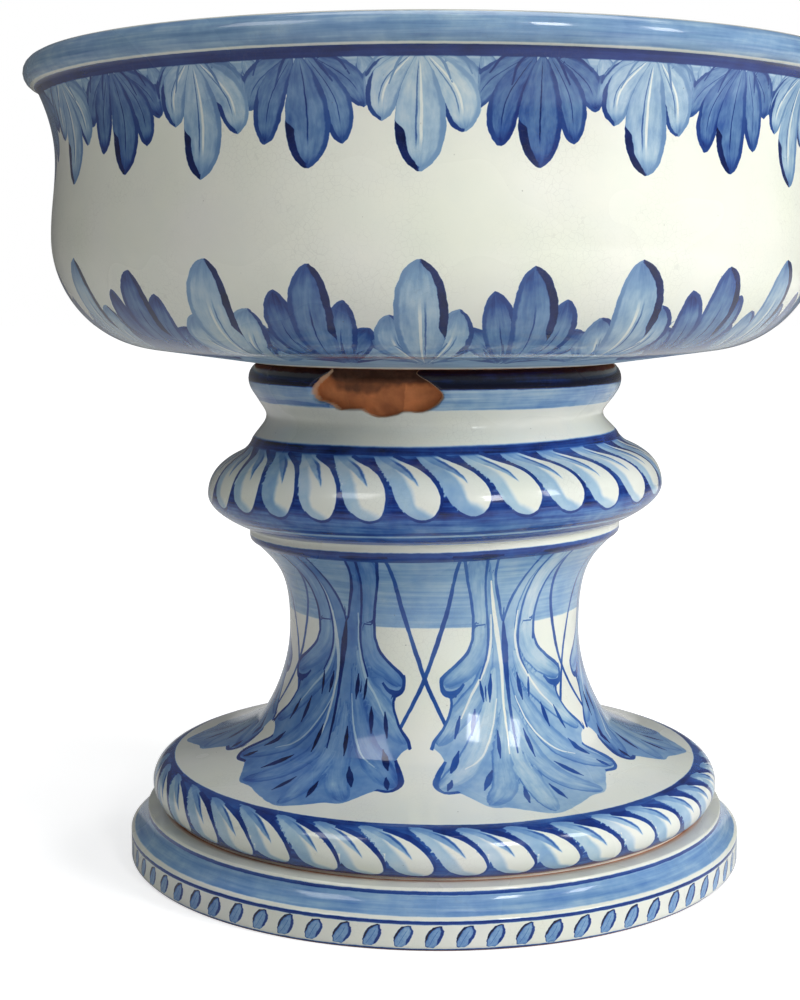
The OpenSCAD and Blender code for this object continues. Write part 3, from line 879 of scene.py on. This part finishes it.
# One acanthus motif of the neck, as (degrees, rise) on its right half: two ribbons come down from
# the band, meet and spread over the foot in curled lobes. Both halves are drawn from these marks.
acanthus = {
    "count": 6, "first": -34,
    # for each motif: its tone, how far its left and right halves spread, the lean of its middle stroke
    "shades": (0.57, 0.38, 0.48, 0.56, 0.44, 0.50),
    "spreads": ((1.26, 1.0), (1.0, 1.22), (0.95, 1.1), (1.05, 1.1), (1.05, 1.1), (1.05, 0.95)),
    "leans": (-1.6, 1, 1, -1, 1.3, -1),
    "outer": [(17.2, 139), (15.2, 118), (13, 100), (11.6, 84), (11.6, 68), (13.6, 60), (17.6, 51.5),
              (21, 46), (23, 42.5), (23.4, 38), (22.8, 32.5), (20.8, 29.5), (19.6, 26), (20.6, 18),
              (22.6, 8), (25.4, 0), (26.4, -6), (24.0, -11), (22.8, -18), (24.8, -30), (25.4, -40),
              (23.2, -47), (20.2, -46.5), (17.0, -54), (13.2, -66), (9.4, -67.5), (5, -74.5), (0, -81)],
    "inner": [(0, 84), (2.2, 96), (4.2, 108), (6.0, 121), (6.9, 139)],
    # marks, half-width, belly, point
    "lobes": [
        ([(13.4, 139), (11.2, 112), (9.2, 86), (9.2, 68), (12.4, 54.5), (17.6, 46.5), (22.6, 38)],
         10.5, 0.5, 0.25),
        ([(4, 62), (8, 40), (14, 24), (20, 10), (25, -4)], 8, 0.62, 0.45),
        ([(2.5, 50), (6, 22), (11, -4), (18, -26), (24.6, -42)], 9, 0.62, 0.45),
        ([(1, 24), (4, -12), (8, -42), (13.4, -64)], 9, 0.62, 0.45),
    ],
    "outline": ([(17.2, 139), (15.2, 118), (13, 100), (11.6, 84), (11.6, 68)], (1.2, 0.9, 1.0, 1.1)),
    "curlEdge": ([(11.6, 70), (13.5, 60.3), (17.6, 51.8), (21.2, 46), (23, 42.3)], (1.0, 1.1, 1.3)),
    "curl": ([(23, 42.8), (23.3, 38), (22.5, 32.8), (20.4, 31), (17.4, 33), (15.6, 37)],
             (1.2, 1.3, 2.2, 1.6, 0.8)),
    "lower": ([(20.0, 29), (19.7, 24), (20.8, 16), (22.8, 7), (25.6, -1), (26.4, -6)], (0.9, 0.8, 1.2)),
    "tip": ([(22.8, -18), (24.8, -30), (25.4, -40), (23.2, -47), (20.2, -46.5)], (1.0, 2.0, 1.2)),
    "midrib": ([(10.2, 138), (8.4, 112), (6.6, 90), (5.6, 72), (6.4, 56), (9.0, 42)],
               (0.9, 0.8, 1.0, 0.5)),
    "inside": ([(6.9, 139), (5.8, 121), (4.0, 107), (2.0, 95), (0.5, 83)], (0.9, 0.9, 1.2, 0.8)),
    "cross": ([(6.6, 79.5), (11.6, 79)], (0.45, 0.55)),
    "centre": ([(0.2, 82), (1.0, 66), (1.6, 46), (1.6, 24), (1.3, 4), (0.8, -12)],
               (0.5, 2.6, 1.7, 1.2, 1.0, 0.6)),
    "dabs": [
        ([(5.0, 42), (5.6, 26)], 1.6), ([(8.8, 39), (8.5, 26)], 1.1), ([(12.0, 19), (13.2, 2)], 1.7),
        ([(17.2, 16), (18.8, 0)], 1.5), ([(18.0, -10), (21.0, -26)], 2.2),
        ([(9.6, -26), (13.0, -44)], 2.2), ([(4.4, 3), (5.4, -16)], 1.5),
        ([(3.2, -46), (4.4, -64)], 1.9), ([(21.2, -34), (22.6, -44)], 1.8),
    ],
    "scratchA": ([(4.9, 86), (4.8, 70), (5.6, 55), (8.4, 41), (12.6, 28), (16.4, 15)],
                 (0.4, 0.9, 1.0, 0.8, 0.4)),
    "scratchB": ([(3.4, 26), (6.4, 6), (11, -12), (17, -24)], (0.3, 0.7, 0.3)),
    "cream": ([(-6.4, 112), (-3.9, 90), (-1.7, 68), (-0.3, 46), (-0.8, 24), (-1.3, 2), (-2.0, -12)],
              (0.4, 1.3, 1.7, 1.2, 0.9, 0.8, 0.4)),
    # dark blots where the ribbons leave the band
    "blot": ([(6.5, 141.5), (12, 140.5), (20, 142)], (0.8, 2.6, 2.0, 0.8)),
    "latticeTurn": 30.7,
    "latticeSides": (("latticeUp", 1, (1.3, 1.5, 1.2)), ("latticeDown", -1, (1.2, 1.5, 1.2))),
    "lattice": [(-10.9, 138), (-9, 99), (-5, 70), (0, 42), (4, 24), (7, 11), (9, 0)],
}

# One gadroon of the large moulding, as (degrees, rise): its left and its right edge, from the foot up
gadroon = {
    "count": 30, "first": -1.2,
    "left": [(-1.6, 188), (-4.2, 190.5), (-6.3, 196), (-7.8, 203), (-9.6, 215), (-12.5, 228),
             (-15.8, 241), (-17.6, 248)],
    "right": [(-1.6, 188), (0.9, 190.5), (2.2, 196.5), (2.6, 204), (1.7, 214), (-0.6, 225),
              (-4.4, 235.5), (-9.6, 243), (-14, 248)],
    "upperInk": (0.6, 1.3, 1.6, 1.8, 2.0, 1.5), "lowerInk": (0.4, 1.0, 1.0, 0.6),
    "footCount": 40, "footLow": -129, "footHigh": -90,
}

chip = {
    "outline": [(-36, 300.5), (-38.4, 294), (-37.8, 286), (-33.4, 282.5), (-30.6, 278), (-26, 278.5),
                (-22.8, 278.5), (-20.5, 275), (-16.8, 272.5), (-12, 274.5), (-9.2, 277.5), (-6, 277),
                (-2.8, 278), (0.6, 283), (2.6, 290), (1.6, 295), (-1.6, 301), (-5, 307), (-5.6, 319),
                (-31, 319), (-32.4, 308)],
    "low": 272, "high": 303, "lowRadius": 125.6, "highRadius": 131.8,
    # scallops: azimuth, lean in degrees per mm, half-width, depth in mm, and how light its clay is
    # painted: painted light and shade of its face, darkest in the deepest
    "scallops": [(-31.5, -0.22, 7.5, 1.3, 0.84), (-19, 0.06, 10.5, 3.2, 0.76),
                 (-0.5, 0.04, 9.5, 2.3, 0.96)],
    # lower edge of the painted shadow on the upper part, as (azimuth, rise), and of the deeper painted
    # shadow above it
    "shadowEdge": [(-37, 299), (-31, 294), (-19, 291), (-15, 296), (-9, 298.5), (4, 298)],
    "deepShadowFrom": 300.5, "edge": 0.9,
    "azimuths": (-39, 6), "heights": (326, 372), "cuts": 2,
}


def acanthusLeaves(surface, dice):
    a = acanthus
    pitch = 360 / a["count"]
    for i in range(a["count"]):
        centre = a["first"] + i * pitch
        shade, spread, lean = a["shades"][i], a["spreads"][i], a["leans"][i]
        ink = 0.74 + (shade - 0.42) * 0.8

        def half(marks, side):
            share = spread[0] if side < 0 else spread[1]
            return [(side * share * turn, rise) for turn, rise in marks]

        closed = (half(a["outer"], 1) + half(a["outer"], -1)[::-1][1:] + half(a["inner"], -1)[::-1]
                  + half(a["inner"], 1)[1:])
        surface.patch("leaf", centre, closed, shade)
        for name, side, widths in a["latticeSides"]:
            line = [(side * turn, rise) for turn, rise in a["lattice"]]
            surface.stroke(name, centre + a["latticeTurn"], line, widths, 0.76)
        surface.lobe("frond", centre, [(0, 4), (0.4, -34), (0, -78)], 9, 0.6, 0.45, shade - 0.03)
        for side in (-1, 1):
            def drawn(marks):
                return half([(turn + dice.uniform(-0.35, 0.35), rise + dice.uniform(-1.2, 1.2))
                             for turn, rise in marks], side)
            for marks, *shape in a["lobes"]:
                surface.lobe("frond", centre, drawn(marks), *shape, shade + dice.uniform(-0.06, 0.06))
            for part in ("outline", "curlEdge", "curl", "lower", "tip", "midrib", "inside", "cross"):
                surface.stroke("ink", centre, half(a[part][0], side), a[part][1], ink)
            surface.stroke("lastInk", centre, half(a["blot"][0], side), a["blot"][1], 0.93)
            for marks, halfWidth in a["dabs"]:
                widths = (0.4, halfWidth, halfWidth, 0.4)
                surface.stroke("dab", centre, drawn(marks), widths, ink + 0.08)
            for part in ("scratchA", "scratchB"):
                drawnMarks = drawn(a[part][0])
                surface.stroke("scratch", centre, drawnMarks, a[part][1], 0.08 + (shade - 0.38) * 1.2)
        marks, widths = a["centre"]
        surface.stroke("ink", centre, [(turn * lean, rise) for turn, rise in marks], widths, ink + 0.06)
        marks, widths = a["cream"]
        moved = [(turn + (lean - 1) * 1.5, rise) for turn, rise in marks]
        surface.stroke("cream", centre, moved, widths, 0.03 + (shade - 0.38))


def gadroons(surface, dice):
    g = gadroon
    low, high = g["left"][0][1], g["left"][-1][1]

    def row(count, foot, top):
        narrower = g["count"] / count
        for i in range(count):
            centre = g["first"] + i * 360 / count + dice.uniform(-0.4, 0.4)
            shift = dice.uniform(-1.5, 1.5)

            def drawn(marks):
                spread = [(turn + dice.uniform(-0.15, 0.15), rise) for turn, rise in marks[1:]]
                return [(turn * narrower, foot + (rise + shift - low) * (top - foot) / (high - low))
                        for turn, rise in marks[:1] + spread]
            left, right = drawn(g["left"]), drawn(g["right"])
            surface.petal("gadroon", centre, left, right, dice.uniform(0.24, 0.40))
            surface.stroke("lastInk", centre, right[2:-1], g["upperInk"], 0.86)
            surface.stroke("lastInk", centre, left[2::-1] + right[1:3], g["lowerInk"], 0.84)

    row(g["count"], low, high)
    row(g["footCount"], g["footLow"], g["footHigh"])


# Slanting ovals: cream at the lower right, washed at the left and top, with a dark tongue inside
def paintGadroons(tree, pigment):
    inside, across, along = tree.field("gadroon")
    tone = tree.number("gadroonTone")
    wobble, blot = brush(tree)
    smear = blot - 0.5
    ragged = inside + wobble * 1.4
    mask = tree.step(ragged, -0.2, 0.4)
    place = across + smear * 0.5
    cream = tree.step(place - (tone - 0.24) * 2.2, -0.62, -0.34)
    cream = cream * tree.step(along + smear * 0.2, 0.93, 0.78)
    cream = cream * tree.step(along + across * 0.10 + smear * 0.12 - tone * 0.45, -0.06, 0.04)
    cream = cream * tree.step(inside, 0.5, 1.5)
    body = tree.blend(cream, tone + smear * 0.35, 0.03)
    reach = along - 0.42 + wobble * 0.05
    drift = across - 0.16 + reach * 0.62
    tongue = tree.step(abs(drift + wobble * 0.1) - reach * 0.95, 0.07, -0.09)
    tongue = tongue * tree.step(reach, -0.01, 0.05)
    body = tree.blend(tongue * 0.9, body, tone + 0.15 + smear * 0.6)
    point = tree.step(abs(drift - reach * 0.80 + wobble * 0.16) - reach * 0.30, 0.07, -0.05)
    point = point * tree.step(reach, -0.03, 0.03) * tree.step(along, 0.92, 0.80)
    body = tree.blend(point * 0.85, body, 0.80)
    body = tree.blend(tree.step(along + smear * 0.1, 0.80, 0.98) * 0.8, body, 0.56)
    return tree.blend(mask, pigment, body)


# Finer faces where the collar is broken
def refineCollar(piece):
    c = chip
    work = bmesh.new()
    work.from_mesh(piece.data)
    picked = []
    for face in work.faces:
        x, y, z = face.calc_center_median() / mm
        azimuth = math.degrees(math.atan2(x, -y))
        if c["azimuths"][0] < azimuth < c["azimuths"][1] and c["heights"][0] < z < c["heights"][1]:
            if math.hypot(x, y) > stem["mouthRadius"] + 1:
                picked.append(face)
    edges = sorted({edge for face in picked for edge in face.edges}, key=lambda edge: edge.index)
    bmesh.ops.subdivide_edges(work, edges=edges, cuts=c["cuts"], use_grid_fill=True)
    for face in work.faces:
        face.smooth = True
    work.to_mesh(piece.data)
    work.free()


# The chip: clay broken away behind the glaze in scallops that meet in sharp ridges
def breakCollar(surface):
    c = chip
    surface.patch("chip", 0, c["outline"], 1.0)
    depth = surface.layers["chip"][:, 0]
    share = np.clip((surface.rise - c["low"]) / (c["high"] - c["low"]), 0, 1)
    broken = c["lowRadius"] + (c["highRadius"] - c["lowRadius"]) * share ** 1.3
    deepest = np.full(len(depth), -9.0)
    light = np.zeros(len(depth))
    # each scallop's clay is painted lighter or darker as its face is lit: painted light and shade
    for azimuth, lean, halfWidth, hollow, tone in c["scallops"]:
        place = surface.azimuth - azimuth - lean * (surface.rise - 288)
        scoop = hollow * (1 - (place / halfWidth) ** 2)
        light = np.where(scoop > deepest, tone, light)
        deepest = np.maximum(deepest, scoop)
    broken -= np.clip(deepest, -0.6, 9) * np.clip(share * 2.2, 0, 1)
    # small waves across and along the break
    turn = np.radians(surface.azimuth)
    broken += 0.30 * np.sin(turn * 43) * np.sin(surface.rise * 0.31)
    broken += 0.22 * np.sin(turn * 97 + surface.rise * 0.5)
    cut = np.clip(depth / c["edge"] + 0.15, 0, 1)
    onRoll = (surface.rise < 315) & (depth > -1)
    lost = np.where(onRoll, np.clip(surface.radius - broken, 0, 9) * cut, 0)
    surface.drawIn(lost)
    # the upper part of the break is painted dark: painted shadow where the bowl overhangs it, deepest
    # at the top
    line = np.interp(surface.azimuth, *zip(*c["shadowEdge"])) + 0.7 * np.sin(surface.azimuth * 1.9)
    paintedShadow = np.clip((surface.rise - line) / 3 + 0.5, 0, 1)
    paintedDeepShadow = np.clip((surface.rise - c["deepShadowFrom"]) / 4 + 0.5, 0, 1)
    right = np.clip((surface.azimuth + 33 + (surface.rise - 296) * 0.25) / 3, 0, 1)
    surface.layers["clayTone"] = light * (1 - (0.42 * paintedShadow + 0.54 * paintedDeepShadow) * right)


# Clay of the break, from the dark brown of its painted shadow to fresh orange, with a pale edge where
# the glaze ends
def brokenClay(tree, paint):
    depth = tree.field("chip")[0]
    where = tree.places()
    rough = tree.noise(where, 170, 4, 0.65) - 0.5
    # the stored tone is painted light and shade of the break: each scallop's face, and the shadow under
    # the bowl
    tone = tree.number("clayTone") * (tree.noise(where, 52, 2, 0.5) + 0.52) + rough * 0.36
    stops = [(0.0, colour(34, 23, 19)), (0.35, colour(104, 68, 50)), (0.7, colour(172, 104, 66)),
             (1.0, colour(212, 132, 82))]
    inBreak = tree.step(depth, -0.6, 0.1)
    paint = tree.tint(inBreak * 0.92, paint, tree.ramp(tone, stops))
    rim = tree.step(abs(depth - 0.15 + rough), 0.95, 0.35) * inBreak
    return tree.tint(rim * 0.7, paint, opaque(202, 172, 142))


def stemFinish():
    tree = Tree("standGlaze")
    wobble, blot = brush(tree)
    pigment = paintBands(tree, blot * 0.05, stem["footWash"])
    pigment = paintStrokes(tree, pigment, "latticeUp", "latticeDown")
    leaf = tree.step(tree.field("leaf")[0] + wobble * 1.6, -0.2, 0.5)
    leafTone = tree.number("leafTone") + (blot - 0.5) * 0.45
    body = paintLobes(tree, leafTone, "frond", (1.2, 1.2, 0.10, 0.60), reach=(0.1, 0.3), rounding=0.18)
    pigment = tree.blend(leaf, pigment, body)
    pigment = paintStrokes(tree, pigment, "scratch", "cream", "dab", "ink")
    pigment = paintBands(tree, pigment, stem["neckBands"])
    pigment = paintGadroons(tree, pigment)
    pigment = paintBands(tree, pigment, stem["collarBands"])
    pigment = paintStrokes(tree, pigment, "lastInk")
    pigment = paintBands(tree, pigment, stem["topBand"])
    broken = tree.step(tree.field("chip")[0] + wobble * 1.2, -0.1, 0.35)
    bare = broken.maths("MAXIMUM", tree.number("unglazed"))
    return glazed(tree, pigment, bare, standPigment, lambda paint: brokenClay(tree, paint))


def makeStem():
    outline = stemOutline()
    piece = turned("stand_stem_glazed", outline, stem["columns"])
    refineCollar(piece)
    surface = Surface(piece, outline, stem["neck"], stem["neckRise"])
    rise = surface.rise
    topRise = surface.lengths[np.argmin(np.hypot(*(surface.path - np.array(stem["seat"])).T))]
    surface.painted = (rise > stem["paintedFrom"] - 1) & (rise < topRise + 12)
    dice = np.random.default_rng(11)
    acanthusLeaves(surface, dice)
    gadroons(surface, dice)
    for centre, marks in stem["collarLines"]:
        surface.stroke("lastInk", centre, marks, stem["collarLineWidths"], 0.62)
    breakCollar(surface)
    surface.layers["rise"] = rise
    onSeat = np.clip((rise - topRise - 3) / 2, 0, 1)
    surface.layers["unglazed"] = onSeat + np.clip(stem["paintedFrom"] - rise, 0, 1)
    # the mouldings run a little out of true, as the painted lines do
    height = surface.points[:, 2]
    window = np.interp(height, stem["tiltWindow"], [0, 1, 1, 0])
    surface.points[:, 2] += window * stem["tilt"] * surface.points[:, 0]
    wave = 1 + np.sin(2 * np.radians(surface.azimuth) + 1.1 + height / 90)
    surface.drawIn(0.5 * stem["outOfRound"] * wave * (surface.radius > 60))
    surface.store()
    piece.data.materials.append(stemFinish())
    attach(piece, "stand")
    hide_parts("stand_stem")
    print("stem painted and chipped")


makeStem()

base = {
    "radius": 231, "height": 38, "faceHeight": 21, "step": 13, "wall": 20, "webLow": 24, "chamfer": 2,
    "lipThick": 12, "lipGap": 2, "lipHeight": 8, "rodHole": 9, "stepEnds": [[150, 0.24], [80, 0.39]],
    "columns": 360, "fineStep": 2.6, "coarseStep": 14,
    "dabs": 72, "dabWidth": 5.2, "paintedTo": 52, "glazedTo": 56,
    "bands": [(-1, 3, 0.84, 0.4, 0.3), (19, 21.5, 0.86, 0.4, 0.3), (25, 40, 0.46, 0.6, 0.6),
              (40, 42.5, 0.82, 0.4, 0.3)],
}


def baseOutline():
    b = base
    top, side, face = b["height"], b["radius"], b["faceHeight"]
    edge = (side - b["step"], top)
    lipOut = stemOutline()[-1][0] - b["lipGap"]
    lipIn, lipTop = lipOut - b["lipThick"], top + b["lipHeight"]
    innerWall = side - b["wall"]
    outer = (straight((side - b["chamfer"], 0), (side, b["chamfer"]), 1.5)
             + straight((side, b["chamfer"]), (side, face), b["fineStep"])
             + sweep((side, face), edge, b["stepEnds"], b["fineStep"]))
    tread = (straight((edge[0] - 1.2, top), (lipOut, top), 5)
             + straight((lipOut, top), (lipOut, lipTop), 4))
    lip = straight((lipOut - 1, lipTop), (lipIn, lipTop), 6)
    hollow = (straight((lipIn, top), (b["rodHole"], top), b["coarseStep"])
              + straight((b["rodHole"], b["webLow"]), (innerWall, b["webLow"]), b["coarseStep"])
              + straight((innerWall, b["webLow"]), (innerWall, 0), 8))
    return withoutDoubles(outer + tread + lip + hollow)


def baseFinish():
    tree = Tree("baseGlaze")
    pigment = paintLobes(tree, brush(tree)[1] * 0.05, "row", (1.0, 2.0, 0.66, 0.86), 0.2)
    pigment = paintBands(tree, pigment, base["bands"])
    return glazed(tree, pigment, tree.number("unglazed"), standPigment)


def makeBase():
    outline = baseOutline()
    piece = turned("stand_base_glazed", outline, base["columns"])
    surface = Surface(piece, outline, outline[0])
    rise = surface.rise
    surface.painted = rise < base["paintedTo"]
    dice = np.random.default_rng(5)
    for i in range(base["dabs"]):
        lean = dice.uniform(-0.3, 0.3)
        marks = [(-1.1 + lean, 4), (0.2, 11), (1.2 + lean, 18)]
        surface.lobe("row", i * 360 / base["dabs"], marks, base["dabWidth"], 0.5, 0.4, 0.5)
    surface.layers["rise"] = rise
    onTread = np.clip((rise - base["glazedTo"]) / 2, 0, 1)
    surface.layers["unglazed"] = onTread + np.clip(1 - surface.points[:, 2], 0, 1)
    surface.store()
    piece.data.materials.append(baseFinish())
    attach(piece, "stand")
    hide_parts("stand_base")
    print("base section painted")


makeBase()


def ironFinish():
    tree = Tree("blackIron")
    where = tree.places()
    broad = tree.noise(where, 55, 4, 0.6)
    fine = tree.noise(where, 420, 3, 0.6)
    rust = tree.step(broad + fine * 0.35, 0.66, 0.84)
    dark = tree.tint(fine, opaque(38, 37, 36), opaque(66, 63, 60))
    paint = tree.tint(rust * 0.8, dark, opaque(112, 62, 34))
    normal = tree.bump(broad * 0.5 + fine * 0.5 + rust * 0.3, 0.5, 0.0005)
    return tree.finish({"Base Color": paint, "Metallic": 1 - rust * 0.9,
                        "Roughness": tree.blend(rust, 0.48, 0.85), "Normal": normal})


def leatherFinish():
    tree = Tree("roughLeather")
    where = tree.places()
    pores = tree.cells(where, 700, "F1", "Distance")
    broad = tree.noise(where, 45, 3, 0.6)
    paint = tree.tint(tree.step(broad, 0.3, 0.7), opaque(74, 46, 28), opaque(118, 78, 48))
    paint = tree.tint(tree.step(pores, 0.3, 0.05) * 0.4, paint, opaque(44, 28, 18))
    normal = tree.bump(pores + broad, 0.5, 0.0005)
    return tree.finish({"Base Color": paint, "Roughness": 0.82, "Normal": normal})


def plasterFinish():
    tree = Tree("setPlaster")
    where = tree.places()
    broad = tree.noise(where, 40, 4, 0.6)
    fine = tree.noise(where, 600, 3, 0.6)
    paint = tree.tint(tree.step(broad, 0.35, 0.7), opaque(214, 209, 196), opaque(232, 228, 218))
    paint = tree.tint(tree.step(fine, 0.6, 0.75) * 0.5, paint, opaque(176, 168, 152))
    normal = tree.bump(broad + fine * 0.6, 0.5, 0.0006)
    return tree.finish({"Base Color": paint, "Roughness": 0.92, "Normal": normal})


def finishFittings():
    finishes = {ironFinish(): ("tie_rod", "top_plate", "top_nut", "bottom_plate", "bottom_nut"),
                leatherFinish(): ("top_pad", "bottom_pad"), plasterFinish(): ("bed_ring",)}
    for material, names in finishes.items():
        for name in names:
            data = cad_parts[name].data
            data.materials.clear()
            data.materials.append(material)
    print("fittings finished")


finishFittings()
